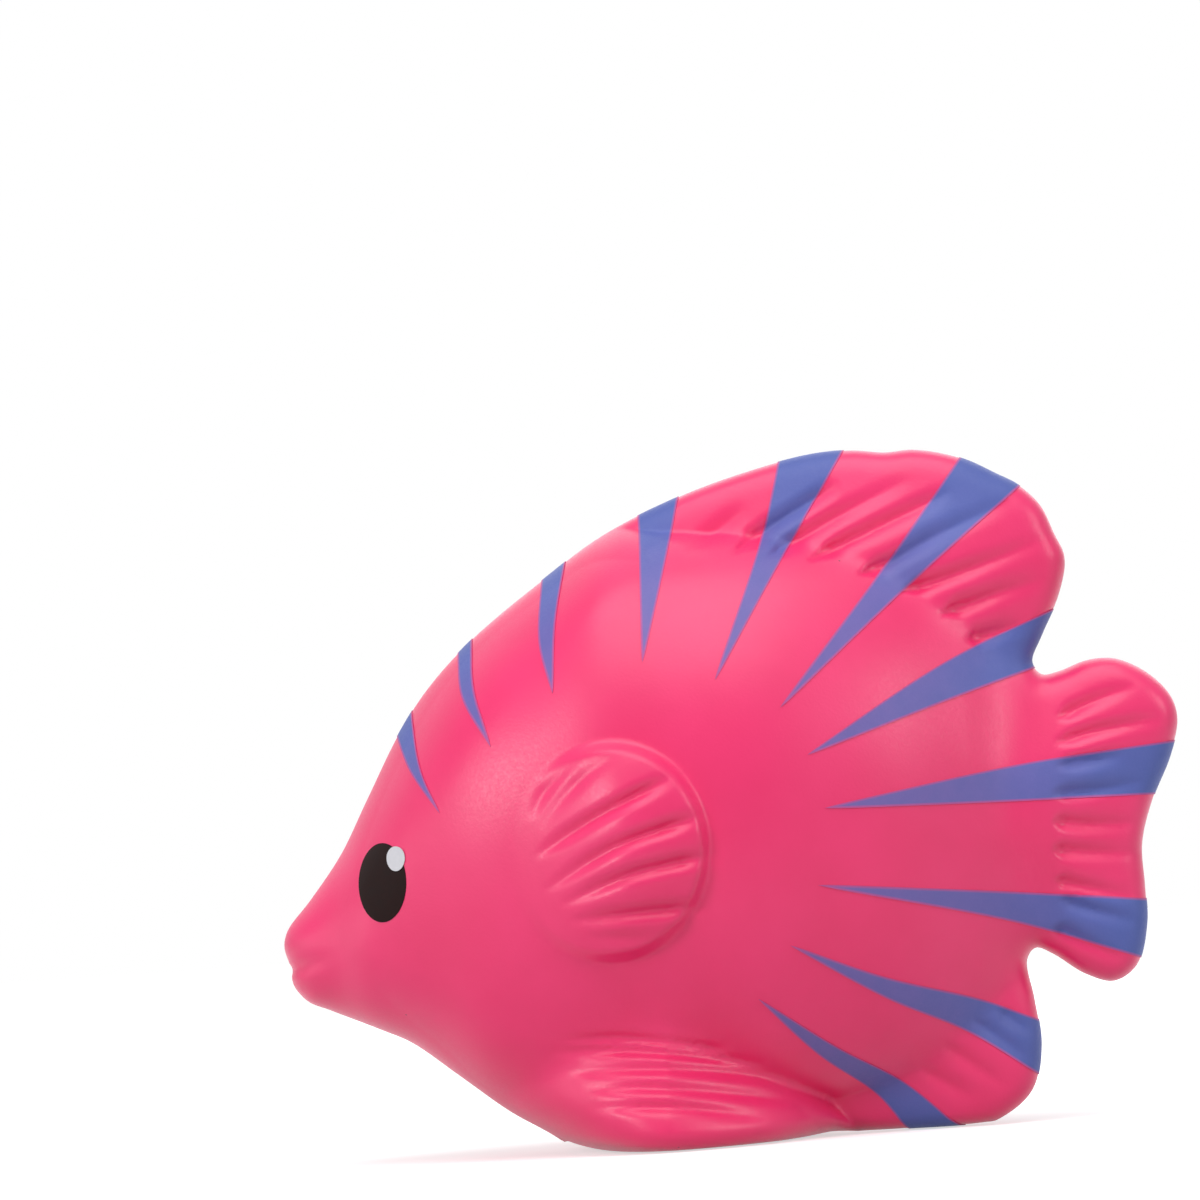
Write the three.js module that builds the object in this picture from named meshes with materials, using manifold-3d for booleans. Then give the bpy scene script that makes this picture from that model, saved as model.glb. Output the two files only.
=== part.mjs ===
// Squeeze fish: a palm-sized foam angelfish that stands on its belly fins.
// It is cast in a mould of two halves: a coloured skin is laid in each half, foam fills both,
// and the stripes and eyes are painted on the finished skin.
// X runs from the snout to the tail, Y across the body and Z up from the flat base, in millimetres.

import * as THREE from 'three';
import { mergeVertices } from 'three/addons/utils/BufferGeometryUtils.js';
import Module from 'manifold-3d';

const wasm = await Module();
wasm.setup();

// Driving dimensions
const bodyLength = 108;
const bodyHeight = 81;
const bodyThickness = 48; // across the flanks, without the side fins
const finEdgeThickness = 6.4; // across a fin, just inside its rounded edge
const finTaper = 0.26; // how much half a fin thickens for each millimetre in from its edge
const finTaperReach = 13; // how far in from the edge that thickening goes
const edgeRounding = 8; // the widest rounding of the outline, at the head and belly
const baseRounding = 2.5;
const pectoralLength = 23.2;
const pectoralHeight = 24.8;
const pectoralRise = 3.2;
const pectoralStep = 1.4; // width of the step round the pectoral fin
const pelvicLength = 46;
const pelvicHeight = 24.3;
const pelvicSpread = 43;
const grooveDepth = 0.9;
const grooveWidth = 2.8;
const pelvicGrooveDepth = 0.5;
const pelvicGrooveWidth = 2;
const mouthDepth = 1.3;
const mouthWidth = 2.4;
const eyeWidth = 5.6;
const eyeHeight = 9.3;
const glintWidth = 2.3;
const glintHeight = 2.9;
const skinThickness = 1.6;
const paintThickness = 0.3;
const clearance = 0.3;

// How finely the curved surfaces are divided
const outlineStep = 3.2;
const outlineTurn = 0.3; // radians
const skinGrid = 5.5;
const liningGrid = 6;
const rootStep = 3;
const grooveStep = 2.2;

// Shape of the blends
const unionSharpness = 8;
const sectionFullness = 2.2;
const roundingShare = 0.8; // rounding of the outline for each millimetre of thickness behind it
const pelvicSlope = 0.45; // how much the pelvic fins drop towards the tail
const pelvicFullness = 2.4;
const pelvicSharpness = 20; // of the crease above the pelvic fins
const pectoralLean = THREE.MathUtils.degToRad(9); // its top lies nearer to the tail

// Places on the fish are in percent of its length from the snout and of its height from the base
const place = ([along, up]) => new THREE.Vector2((along / 100 - 0.5) * bodyLength, (up / 100) * bodyHeight);

// The side outline, from the upper lip over the back. Its belly dips below the base, which cuts it flat.
const outlinePlaces = [
  [0, 32.6], [0.7, 35.3], [3.4, 39.8], [6.9, 45.6], [10.1, 53.2], [14.1, 62.6], [17.6, 69], // forehead
  [22.9, 75.9], [31.2, 84], [38, 89.9], [46.6, 94.8], [54.4, 97.9], [61.6, 99.8], [66.2, 100], // back
  [69.7, 99.4], [73.1, 99.5], [78.1, 97.8], [81.9, 95.1], [84.3, 93.2], [86.5, 90.1], [87.8, 85.9],
  [88.8, 82.2], [87.9, 76.9], [85.6, 70.9], [84.4, 67.2], [85.4, 65.3], [87.4, 65.6], // behind the dorsal fin
  [90.4, 66.9], [93.5, 66.9], [96.9, 64.6], [99.4, 60.9], [100, 57.4], [98.9, 52.1], [96.7, 46], // tail
  [95.2, 39.5], [95.2, 33.3], [95.1, 27.8], [93.7, 21.7], [91.1, 19.6], [88, 20.9], [84.5, 24.2],
  [82.7, 25.2], [81.7, 23.5], [82.2, 17.9], [82.6, 11.1], [81.4, 4.6], [78.2, 1], // anal fin
  [74.1, -0.7], [66.7, -0.7], [59.3, -1], [55.6, -4.9], [46.3, -9.9], [37, -6.2], [32.4, -1.6], // belly
  [28.1, 2.6], [23.7, 6.3], [18.3, 12.1], [13.4, 17.3], [10.1, 19.5], [4.7, 22.8], [2.2, 24.6], // chin
  [0.9, 26.4], [0.6, 28.1], [1.2, 29.6], [0.4, 30.7], // lower lip and the notch of the mouth
];

// The body without its fins: at each place along it, where its section closes at the top and at the
// bottom, in percent of the height, and its width in percent of the thickness
const bodySections = [
  [-2, 42, 21, 6], [2, 44, 21, 22], [6, 49, 19, 36], [9, 57, 15, 50], [12, 63, 13, 59], [17, 72, 9, 72],
  [22, 79, 3, 83], [30, 86, 1, 94], [37, 91, 3, 99], [44, 90, 4, 100], [53, 89, 4, 97], [61, 87, 5, 85],
  [69, 83, 8, 68], [76, 77, 14, 46], [81, 71, 20, 29], [87, 67, 23, 17], [93, 64, 23, 8], [96, 62, 25, 0],
];

// Rays pressed into the fins, from root to edge
const finGrooves = [
  [[42.5, 86.5], [44.8, 88.2]], [[46.9, 85.7], [51.5, 90.1], [54.3, 92.4]], // dorsal
  [[52.3, 85.7], [56.2, 89], [62.3, 93.5]], [[56.2, 85], [59.2, 87], [64.9, 90.8], [70.2, 93.9]],
  [[60.8, 84.1], [66.1, 87], [73.9, 91.3]], [[66.2, 81.5], [69.3, 82.9], [74.3, 86.2], [82.1, 90.4]],
  [[70.6, 78.6], [74, 79.6], [79.2, 81.7], [85.6, 84.6]], [[74.8, 75], [77.6, 76], [80.7, 77.3], [84.6, 78.6]],
  [[77.4, 71], [79.7, 71.5], [82.9, 72.7]],
  [[88.4, 62.2], [91.6, 63.9]], [[86.6, 58.5], [90.5, 60.7], [94.2, 61.8]], // tail
  [[86.1, 54.9], [90.3, 56.3], [94.6, 57.1], [97.7, 57.5]], [[86.1, 51.6], [90.7, 52.2]],
  [[85.4, 47.7], [89.9, 47.7], [92.9, 48.2]], [[85.2, 43.7], [88.7, 42.9], [93.6, 42.5]],
  [[85, 39.6], [88.2, 38.9], [93.1, 38.2]], [[85, 35.1], [88.3, 33.8], [91.6, 32.6]],
  [[85.6, 32.4], [88.7, 30.5], [93.2, 28.5]], [[84.5, 28.2], [87, 26.5], [91.1, 23.2]],
  [[69.3, 8.8], [74.8, 3.7]], [[72, 11.9], [78.7, 4.8]], [[75.4, 15.2], [81.5, 8.6]], // anal
  [[78.1, 16.4], [81.8, 12.6]],
];

// Rays of the pectoral fin, in shares of half its size from its centre
const pectoralCentre = place([37.2, 42.5]);
const pectoralGrooves = [
  [[-0.82, 0.4], [-0.66, 0.66], [-0.44, 0.87]], [[-0.77, 0.34], [-0.57, 0.63], [-0.26, 0.86], [0.13, 0.97]],
  [[-0.72, 0.23], [-0.47, 0.49], [-0.06, 0.77], [0.27, 0.94]],
  [[-0.79, 0.04], [-0.45, 0.27], [0.13, 0.51], [0.64, 0.69]],
  [[-0.75, -0.27], [-0.33, -0.07], [0.25, 0.14], [0.79, 0.33]],
  [[-0.59, -0.39], [-0.07, -0.23], [0.47, -0.12], [0.91, -0.05]],
  [[-0.48, -0.56], [0.05, -0.51], [0.82, -0.49]], [[-0.43, -0.73], [0.04, -0.81], [0.41, -0.89]],
];

// Rays of the pelvic fins, in shares of half their length and of their height from their centre
const pelvicCentre = place([40.4, 0]);
const pelvicGrooves = [
  [[-0.53, 0.54], [-0.22, 0.52], [0.09, 0.49], [0.25, 0.47]],
  [[-0.52, 0.43], [-0.23, 0.43], [0.19, 0.41], [0.41, 0.38]],
  [[-0.46, 0.32], [0.04, 0.31], [0.44, 0.27]], [[-0.34, 0.22], [0.03, 0.19], [0.6, 0.14]],
  [[-0.18, 0.09], [0.31, 0.04]],
];

const mouthCorner = [5.3, 30.2];
const mouthNotch = [1.1, 29.6];

// Each stripe has two edges that bow from the outline to one tip
const stripePlaces = [
  { front: [[14.1, 62.6], [15.6, 57.3]], back: [[15.6, 65.6], [16.8, 56.7]], tip: [18.7, 50.7] },
  { front: [[21.6, 74.4], [21.9, 67.4]], back: [[23.1, 76], [23.1, 68.4]], tip: [24.7, 59.8] },
  { front: [[31.3, 84.1], [30.7, 74.6]], back: [[33.8, 86.4], [32.4, 76.9]], tip: [31.8, 66.9] },
  { front: [[42.5, 92.7], [42.1, 82.7]], back: [[46.7, 94.8], [44.4, 83.3]], tip: [41.7, 70.5] },
  { front: [[58.1, 99], [55.6, 87.7]], back: [[65.2, 100], [58.1, 85.7]], tip: [49.4, 67.2] },
  { front: [[78.1, 97.8], [69, 82.6]], back: [[84.4, 93], [71.9, 80.2]], tip: [56.2, 62.6] },
  { front: [[87, 74.6], [74.6, 67.7]], back: [[84.4, 66.3], [75.6, 62.8]], tip: [58.8, 55.6] },
  { front: [[99.4, 54.3], [81.9, 52.1]], back: [[96.8, 46.5], [81.9, 47]], tip: [60.3, 47.8] },
  { front: [[95.2, 31.4], [80.6, 33.6]], back: [[94.2, 23.3], [80.8, 29.4]], tip: [59, 36.8] },
  {
    front: [[82.4, 14.8], [76.2, 18.3], [65.6, 22.7]],
    back: [[82.3, 7], [74.4, 14.1], [65.8, 19.8]],
    tip: [55.6, 28.4],
  },
  { front: [[73.4, 0], [67.1, 7.3], [60, 13]], back: [[67.8, 0], [64.3, 5.8], [58, 12.3]], tip: [51.8, 21] },
];

const eyeCentre = place([11.9, 41.2]);
const glintCentre = eyeCentre.clone().add(new THREE.Vector2(0.3 * eyeWidth, 0.28 * eyeHeight));

// A curve through places, as points close enough to stand for it
function curveThrough(points, closed, count) {
  const turned = points.map((point) => new THREE.Vector3(point.x, point.y, 0));
  return new THREE.CatmullRomCurve3(turned, closed, 'centripetal').getPoints(count);
}

function ellipse(centre, width, height, count) {
  return new THREE.EllipseCurve(centre.x, centre.y, width / 2, height / 2).getPoints(count).slice(0, -1);
}

// The outline as a polygon, with more points where it turns
function outlinePolygon() {
  const fine = curveThrough(outlinePlaces.map(place), true, 600).slice(0, -1);
  const kept = [fine[0]];
  let turn = 0;
  let run = 0;
  for (let i = 1; i < fine.length; i += 1) {
    const before = fine[i].clone().sub(fine[i - 1]);
    const after = fine[(i + 1) % fine.length].clone().sub(fine[i]);
    turn += before.angleTo(after);
    run += before.length();
    if (turn > outlineTurn || run > outlineStep) {
      kept.push(fine[i]);
      turn = 0;
      run = 0;
    }
  }
  return kept.map((point) => new THREE.Vector2(point.x, point.y));
}

const outline = outlinePolygon();

// Nearest place on a run of straight pieces: how far it is, and the share of the run up to it
function nearestOnRun(point, run, closed) {
  const pieces = closed ? run.length : run.length - 1;
  let distance = Infinity;
  let share = 0;
  for (let i = 0; i < pieces; i += 1) {
    const from = run[i];
    const to = run[(i + 1) % run.length];
    const alongX = to.x - from.x;
    const alongY = to.y - from.y;
    const dot = (point.x - from.x) * alongX + (point.y - from.y) * alongY;
    const step = Math.min(1, Math.max(0, dot / (alongX * alongX + alongY * alongY)));
    const gap = Math.hypot(point.x - from.x - step * alongX, point.y - from.y - step * alongY);
    if (gap < distance) {
      distance = gap;
      share = (i + step) / pieces;
    }
  }
  return { distance, share };
}

function isInside(point, polygon) {
  let inside = false;
  for (let i = 0, j = polygon.length - 1; i < polygon.length; j = i, i += 1) {
    const a = polygon[i];
    const b = polygon[j];
    if (a.y > point.y !== b.y > point.y && point.x < ((b.x - a.x) * (point.y - a.y)) / (b.y - a.y) + a.x) {
      inside = !inside;
    }
  }
  return inside;
}

// Distance in from the outline, less than zero outside it
function depthInside(point) {
  const { distance } = nearestOnRun(point, outline, true);
  return isInside(point, outline) ? distance : -distance;
}

const sectionTable = new THREE.CubicInterpolant(
  bodySections.map(([along]) => place([along, 0]).x),
  bodySections.flatMap(([, top, bottom, width]) => [
    (top / 100) * bodyHeight,
    (bottom / 100) * bodyHeight,
    (width / 100) * (bodyThickness / 2),
  ]),
  3,
);
const bodyStart = place([bodySections[0][0], 0]).x;
const bodyEnd = place([bodySections.at(-1)[0], 0]).x;

function bodyRelief(point) {
  if (point.x < bodyStart || point.x > bodyEnd) {
    return 0;
  }
  const [top, bottom, width] = sectionTable.evaluate(point.x);
  const level = Math.abs((2 * point.y - top - bottom) / (top - bottom));
  return width * Math.sqrt(Math.max(0, 1 - level ** sectionFullness));
}

function finRelief(depth) {
  return finEdgeThickness / 2 + finTaper * Math.min(finTaperReach, Math.max(0, depth));
}

function pelvicRelief(point) {
  const away = point.x - pelvicCentre.x;
  const along = Math.abs(away) / (pelvicLength / 2);
  const up = (point.y + pelvicSlope * away) / pelvicHeight;
  return (pelvicSpread / 2) * Math.sqrt(Math.max(0, 1 - along ** pelvicFullness - up * up));
}

function partReliefs(point, depth) {
  return [bodyRelief(point), finRelief(depth), pelvicRelief(point)];
}

// The pectoral fin lies on the flank: it grows out of it at the front and ends in a step
function pectoralRelief(point) {
  const away = point.clone().sub(pectoralCentre).rotateAround(new THREE.Vector2(), pectoralLean);
  const reach = Math.hypot(away.x / (pectoralLength / 2), away.y / (pectoralHeight / 2));
  const inward = ((1 - reach) * (pectoralLength + pectoralHeight)) / 4;
  const edge = THREE.MathUtils.smoothstep(inward, 0, pectoralStep);
  const growth = THREE.MathUtils.smoothstep(away.x, -0.6 * pectoralLength, 0.1 * pectoralLength);
  return pectoralRise * edge * growth;
}

const toCurve = (points) => curveThrough(points, false, points.length > 2 ? 6 : 1);
const inSize = (x, y, length, height) => new THREE.Vector2((x * length) / 2, y * height);
const onPectoral = ([x, y]) => inSize(x, y, pectoralLength, pectoralHeight / 2).add(pectoralCentre);
const onPelvic = ([x, y]) => inSize(x, y, pelvicLength, pelvicHeight).add(pelvicCentre);
const grooveSets = [
  { places: finGrooves, where: place, depth: grooveDepth, width: grooveWidth },
  { places: pectoralGrooves, where: onPectoral, depth: grooveDepth, width: grooveWidth },
  { places: pelvicGrooves, where: onPelvic, depth: pelvicGrooveDepth, width: pelvicGrooveWidth },
  { places: [[mouthCorner, mouthNotch]], where: place, depth: mouthDepth, width: mouthWidth },
];
const grooves = grooveSets.flatMap(({ places, where, depth, width }) =>
  places.map((groove) => ({ run: toCurve(groove.map(where)), depth, width })));

// A groove is deepest halfway along and runs out at both ends
function grooveRelief(point) {
  let deepest = 0;
  for (const { run, depth, width } of grooves) {
    const { distance, share } = nearestOnRun(point, run, false);
    const across = Math.max(0, 1 - (2 * distance / width) ** 2);
    deepest = Math.max(deepest, depth * across * across * Math.sin(Math.PI * (0.15 + 0.7 * share)));
  }
  return deepest;
}

// The edge of the flat base is rounded, less so where the fish is thin
function baseLoss(height, thickness) {
  const radius = Math.min(baseRounding, 0.4 * thickness);
  const short = Math.max(0, radius - height);
  return radius - Math.sqrt(radius * radius - short * short);
}

const blend = (one, other, sharpness) => (one ** sharpness + other ** sharpness) ** (1 / sharpness);

// Square of the half thickness: it falls evenly to zero at the outline, which makes a round edge
function reliefSquared(point, detailed) {
  const depth = depthInside(point);
  const [body, fin, pelvic] = partReliefs(point, depth);
  const smooth = blend(blend(body, fin, unionSharpness), pelvic, pelvicSharpness);
  const rounding = Math.min(edgeRounding, roundingShare * smooth);
  const inward = Math.min(1, depth / rounding);
  const detail = detailed ? pectoralRelief(point) - grooveRelief(point) : 0;
  const thickness = smooth + detail - baseLoss(Math.max(0, point.y), smooth);
  return thickness * thickness * inward * (2 - inward);
}

// A point of the surface, moved outwards by an offset; the base stays flat
function surfacePoint(point, offset, detailed) {
  const step = 0.05;
  const sample = (x, y) => reliefSquared(new THREE.Vector2(point.x + x, point.y + y), detailed);
  const half = Math.sqrt(Math.max(0, sample(0, 0)));
  const onBase = point.y === 0;
  const normal = new THREE.Vector3(
    (sample(-step, 0) - sample(step, 0)) / (2 * step),
    2 * half,
    onBase ? 0 : (sample(0, -step) - sample(0, step)) / (2 * step),
  ).normalize();
  const moved = new THREE.Vector3(point.x, half, point.y).addScaledVector(normal, offset);
  return onBase ? moved.setZ(-offset) : moved;
}

// The rim of one half, round the outline and along the base, which is z = 0
function rimPoints(step) {
  const rim = [];
  const start = outline.findIndex((point, i) => point.y > 0 && outline.at(i - 1).y <= 0);
  for (let i = 0; i < outline.length; i += 1) {
    const from = outline[(start + i - 1 + outline.length) % outline.length];
    const to = outline[(start + i) % outline.length];
    if (from.y > 0 !== to.y > 0) {
      rim.push(new THREE.Vector2(from.x + ((to.x - from.x) * from.y) / (from.y - to.y), 0));
    }
    if (to.y > 0) {
      rim.push(to);
    }
  }
  const [front, rear] = [rim[0], rim.at(-1)];
  const count = Math.ceil(Math.abs(rear.x - front.x) / step);
  for (let i = 1; i < count; i += 1) {
    rim.push(rear.clone().lerp(front, i / count).setY(0));
  }
  return rim;
}

// Delaunay triangles over the points, each turned the same way
function delaunay(points) {
  const far = 40 * bodyLength;
  const around = [[-far, -far], [far, -far], [0, far]].map(([x, y]) => new THREE.Vector2(x, y));
  const corners = [...points, ...around];
  const circle = (a, b, c) => {
    const [p, q, r] = [corners[a], corners[b], corners[c]];
    const turn = 2 * ((q.x - p.x) * (r.y - p.y) - (q.y - p.y) * (r.x - p.x));
    const qq = (q.x - p.x) ** 2 + (q.y - p.y) ** 2;
    const rr = (r.x - p.x) ** 2 + (r.y - p.y) ** 2;
    const x = ((r.y - p.y) * qq - (q.y - p.y) * rr) / turn;
    const y = ((q.x - p.x) * rr - (r.x - p.x) * qq) / turn;
    return { a, b, c, x: p.x + x, y: p.y + y, reach: x * x + y * y };
  };
  let triangles = [circle(points.length, points.length + 1, points.length + 2)];
  points.forEach((point, index) => {
    const edges = new Map();
    triangles = triangles.filter((triangle) => {
      if ((point.x - triangle.x) ** 2 + (point.y - triangle.y) ** 2 >= triangle.reach) {
        return true;
      }
      const { a, b, c } = triangle;
      for (const [from, to] of [[a, b], [b, c], [c, a]]) {
        if (!edges.delete(`${to} ${from}`)) {
          edges.set(`${from} ${to}`, [from, to]);
        }
      }
      return false;
    });
    for (const [from, to] of edges.values()) {
      triangles.push(circle(from, to, index));
    }
  });
  return triangles.filter(({ a, b, c }) => Math.max(a, b, c) < points.length);
}

// A net of points over the side view: the rim, rows inside it, chosen points and an even grid
function sideNet(grid, rows, chosen) {
  const rim = rimPoints(outlineStep);
  const points = [...rim];
  const accept = (point, gap) => {
    if (point.y > gap / 2 && points.every((other) => other.distanceTo(point) > gap)) {
      points.push(point);
    }
  };
  for (const row of rows) {
    rim.forEach((point, i) => {
      const along = rim[(i + 1) % rim.length].clone().sub(rim.at(i - 1));
      const inner = new THREE.Vector2(along.y, -along.x).setLength(row).add(point);
      if (depthInside(inner) > 0.8 * row) {
        accept(inner, 0.75 * row);
      }
    });
  }
  for (const point of chosen) {
    if (depthInside(point) > rows.at(-1)) {
      accept(point, 0.25 * grooveWidth);
    }
  }
  const rise = (grid * Math.sqrt(3)) / 2;
  for (let row = 0; row * rise < bodyHeight; row += 1) {
    for (let x = -bodyLength / 2 + ((row % 2) * grid) / 2; x < bodyLength / 2; x += grid) {
      const point = new THREE.Vector2(x, row * rise);
      if (depthInside(point) > rows.at(-1)) {
        accept(point, 0.6 * grid);
      }
    }
  }
  const triangles = delaunay(points).filter(({ a, b, c }) => {
    const middle = points[a].clone().add(points[b]).add(points[c]).divideScalar(3);
    return middle.y > 0 && isInside(middle, outline);
  });
  return { points, rim: rim.length, triangles };
}

// Points along the grooves and the step of the pectoral fin, where the skin needs finer triangles
function detailPoints() {
  const points = [];
  for (const { run, width } of grooves) {
    const curve = new THREE.SplineCurve(run.map((point) => new THREE.Vector2(point.x, point.y)));
    const count = Math.max(2, Math.round(curve.getLength() / grooveStep));
    for (let i = 0; i <= count; i += 1) {
      const middle = curve.getPointAt(i / count);
      const along = curve.getTangentAt(i / count);
      const across = new THREE.Vector2(-along.y, along.x).multiplyScalar(width / 2);
      points.push(middle, middle.clone().add(across), middle.clone().sub(across));
    }
  }
  for (const inset of [0, pectoralStep]) {
    const ring = ellipse(pectoralCentre, pectoralLength - 2 * inset, pectoralHeight - 2 * inset, 30);
    points.push(...ring.map((point) => point.rotateAround(pectoralCentre, -pectoralLean)));
  }
  points.push(eyeCentre, ...ellipse(eyeCentre, 0.7 * eyeWidth, 0.7 * eyeHeight, 10));
  return points;
}

// Points along the roots of the fins, where another part of the fish becomes the thickest
function rootPoints() {
  const thickest = (point) => {
    const parts = partReliefs(point, depthInside(point));
    return parts.indexOf(Math.max(...parts));
  };
  const points = [];
  for (let x = -bodyLength / 2; x < bodyLength / 2; x += rootStep) {
    let below = new THREE.Vector2(x, 0);
    for (let z = rootStep / 8; z < bodyHeight; z += rootStep / 8) {
      const above = new THREE.Vector2(x, z);
      if (thickest(above) !== thickest(below)) {
        points.push(above);
      }
      below = above;
    }
  }
  return points;
}

const roots = rootPoints();
const skinNet = sideNet(skinGrid, [0.5, 1.8], [...detailPoints(), ...roots]);
const liningNet = sideNet(liningGrid, [2.4], roots);

function closedGeometry(positions, triangles) {
  const geometry = new THREE.BufferGeometry();
  geometry.setAttribute('position', new THREE.Float32BufferAttribute(positions, 3));
  geometry.setIndex(triangles);
  const merged = mergeVertices(geometry, 1e-4);
  const index = merged.getIndex().array;
  const kept = [];
  for (let i = 0; i < index.length; i += 3) {
    const [a, b, c] = index.slice(i, i + 3);
    if (a !== b && b !== c && c !== a) {
      kept.push(a, b, c);
    }
  }
  merged.setIndex(kept);
  return merged;
}

// The body between a side that faces +Y and one that faces -Y, which share the net's triangles
function betweenSides(net, sides) {
  const count = net.points.length;
  const positions = sides.flatMap((side) => side.flatMap(({ x, y, z }) => [x, y, z]));
  const triangles = net.triangles.flatMap(({ a, b, c }) => [a, c, b, count + a, count + b, count + c]);
  for (let from = 0; from < net.rim; from += 1) {
    const to = (from + 1) % net.rim;
    triangles.push(to, from, count + from, to, count + from, count + to);
  }
  return closedGeometry(positions, triangles);
}

// One half of the fish, grown by an offset, from a flat floor up to its curved side
function halfFish(net, offset, floor, detailed) {
  const curved = net.points.map((point) => surfacePoint(point, offset, detailed));
  const raised = curved.map(({ x, y, z }) => ({ x, y: y + clearance / 2, z }));
  const flat = curved.map(({ x, z }) => ({ x, y: floor, z }));
  return betweenSides(net, [raised, flat]);
}

// The foam fills both halves as one piece
function wholeFish(net, offset) {
  const right = net.points.map((point) => surfacePoint(point, offset, false));
  const left = right.map(({ x, y, z }) => ({ x, y: -y, z }));
  return betweenSides(net, [right, left]);
}

function toSolid(geometry) {
  const vertProperties = new Float32Array(geometry.getAttribute('position').array);
  const triVerts = new Uint32Array(geometry.getIndex().array);
  return new wasm.Manifold(new wasm.Mesh({ numProp: 3, vertProperties, triVerts }));
}

function toGeometry(solid) {
  const mesh = solid.getMesh();
  const geometry = new THREE.BufferGeometry();
  geometry.setAttribute('position', new THREE.Float32BufferAttribute(mesh.vertProperties, mesh.numProp));
  geometry.setIndex(Array.from(mesh.triVerts));
  return geometry;
}

// An outline in the side view, drawn out across the right half of the fish
function sidePrism(points) {
  const shape = new THREE.Shape(points.map((point) => new THREE.Vector2(point.x, point.y)));
  const geometry = new THREE.ExtrudeGeometry(shape, { depth: bodyThickness, bevelEnabled: false });
  geometry.rotateX(Math.PI / 2);
  geometry.translate(0, bodyThickness, 0);
  geometry.deleteAttribute('normal');
  geometry.deleteAttribute('uv');
  return toSolid(mergeVertices(geometry, 1e-4));
}

function mirrored(geometry) {
  const copy = geometry.clone();
  copy.scale(1, -1, 1);
  const index = copy.getIndex().array;
  for (let i = 0; i < index.length; i += 3) {
    [index[i], index[i + 1]] = [index[i + 1], index[i]];
  }
  return copy;
}

const skinColour = new THREE.MeshStandardMaterial({ color: 0xee4f86, roughness: 0.55, metalness: 0 });
const foamColour = new THREE.MeshStandardMaterial({ color: 0xf3e3d8, roughness: 0.95, metalness: 0 });
const stripeColour = new THREE.MeshStandardMaterial({ color: 0x6a71b9, roughness: 0.6, metalness: 0 });
const eyeColour = new THREE.MeshStandardMaterial({ color: 0x2c2222, roughness: 0.4, metalness: 0 });
const glintColour = new THREE.MeshStandardMaterial({ color: 0xdfe2e8, roughness: 0.4, metalness: 0 });

const fish = new THREE.Group();

function addPiece(name, geometry, material) {
  const mesh = new THREE.Mesh(geometry, material);
  mesh.name = name;
  fish.add(mesh);
}

function addPair(name, geometry, material) {
  addPiece(`right_${name}`, geometry, material);
  addPiece(`left_${name}`, mirrored(geometry), material);
}

// A film of paint that lies on the skin, or on the film below it
function paintShell(layer) {
  const under = clearance + layer * (paintThickness + clearance);
  const over = under + paintThickness;
  const outer = toSolid(halfFish(skinNet, over, clearance / 2, true));
  const inner = toSolid(halfFish(skinNet, under, -clearance, true));
  return outer.subtract(inner);
}

// A film ends above the surface that the fish stands on
function aboveBase(solid) {
  const floor = new THREE.BoxGeometry(2 * bodyLength, 2 * bodyThickness, bodyHeight);
  floor.translate(0, 0, clearance - bodyHeight / 2);
  floor.deleteAttribute('normal');
  floor.deleteAttribute('uv');
  return solid.subtract(toSolid(mergeVertices(floor, 1e-4)));
}

// Foam core
addPiece('foam_core', wholeFish(liningNet, -skinThickness - clearance), foamColour);

// Skin halves, which meet along the mould's parting plane
const skinOuter = toSolid(halfFish(skinNet, 0, clearance / 2, true));
const skinInner = toSolid(halfFish(liningNet, -skinThickness, -clearance, false));
addPair('skin', toGeometry(skinOuter.subtract(skinInner)), skinColour);

// Stripes: each edge runs a little past the outline, so that the paint wraps round it
const firstFilm = aboveBase(paintShell(0));
const overrun = 3;
function stripeEdge(places, tip) {
  const points = [...places, tip].map(place);
  const outward = points[0].clone().sub(points[1]).setLength(overrun);
  const curve = curveThrough(points, false, 4 * points.length);
  return [points[0].clone().add(outward), ...curve.map((point) => new THREE.Vector2(point.x, point.y))];
}
stripePlaces.forEach(({ front, back, tip }, index) => {
  const ring = [...stripeEdge(front, tip), ...stripeEdge(back, tip).slice(0, -1).reverse()];
  addPair(`stripe_${index + 1}`, toGeometry(firstFilm.intersect(sidePrism(ring))), stripeColour);
});

// Eyes, and the pale glint painted over each one
const eye = firstFilm.intersect(sidePrism(ellipse(eyeCentre, eyeWidth, eyeHeight, 28)));
addPair('eye', toGeometry(eye), eyeColour);
const glint = paintShell(1).intersect(sidePrism(ellipse(glintCentre, glintWidth, glintHeight, 16)));
addPair('eye_glint', toGeometry(glint), glintColour);

export default fish;
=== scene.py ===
import math

import bpy
import numpy as np
from mathutils import Matrix, Vector


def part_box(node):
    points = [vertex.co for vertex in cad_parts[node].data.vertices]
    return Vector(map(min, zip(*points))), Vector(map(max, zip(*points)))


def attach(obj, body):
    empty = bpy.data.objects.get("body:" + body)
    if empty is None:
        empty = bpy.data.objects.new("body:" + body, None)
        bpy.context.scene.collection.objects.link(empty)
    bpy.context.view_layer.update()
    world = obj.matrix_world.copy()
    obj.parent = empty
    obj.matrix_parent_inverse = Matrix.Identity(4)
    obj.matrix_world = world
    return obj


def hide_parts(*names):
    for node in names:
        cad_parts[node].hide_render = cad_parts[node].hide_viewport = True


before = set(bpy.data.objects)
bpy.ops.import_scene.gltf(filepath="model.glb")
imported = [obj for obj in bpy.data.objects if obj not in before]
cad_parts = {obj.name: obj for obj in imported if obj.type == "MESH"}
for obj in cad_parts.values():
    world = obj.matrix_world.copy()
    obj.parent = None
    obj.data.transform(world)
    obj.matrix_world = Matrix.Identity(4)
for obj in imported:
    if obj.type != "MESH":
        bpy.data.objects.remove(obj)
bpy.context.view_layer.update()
print("frame loaded:", len(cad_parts), "nodes")

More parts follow.
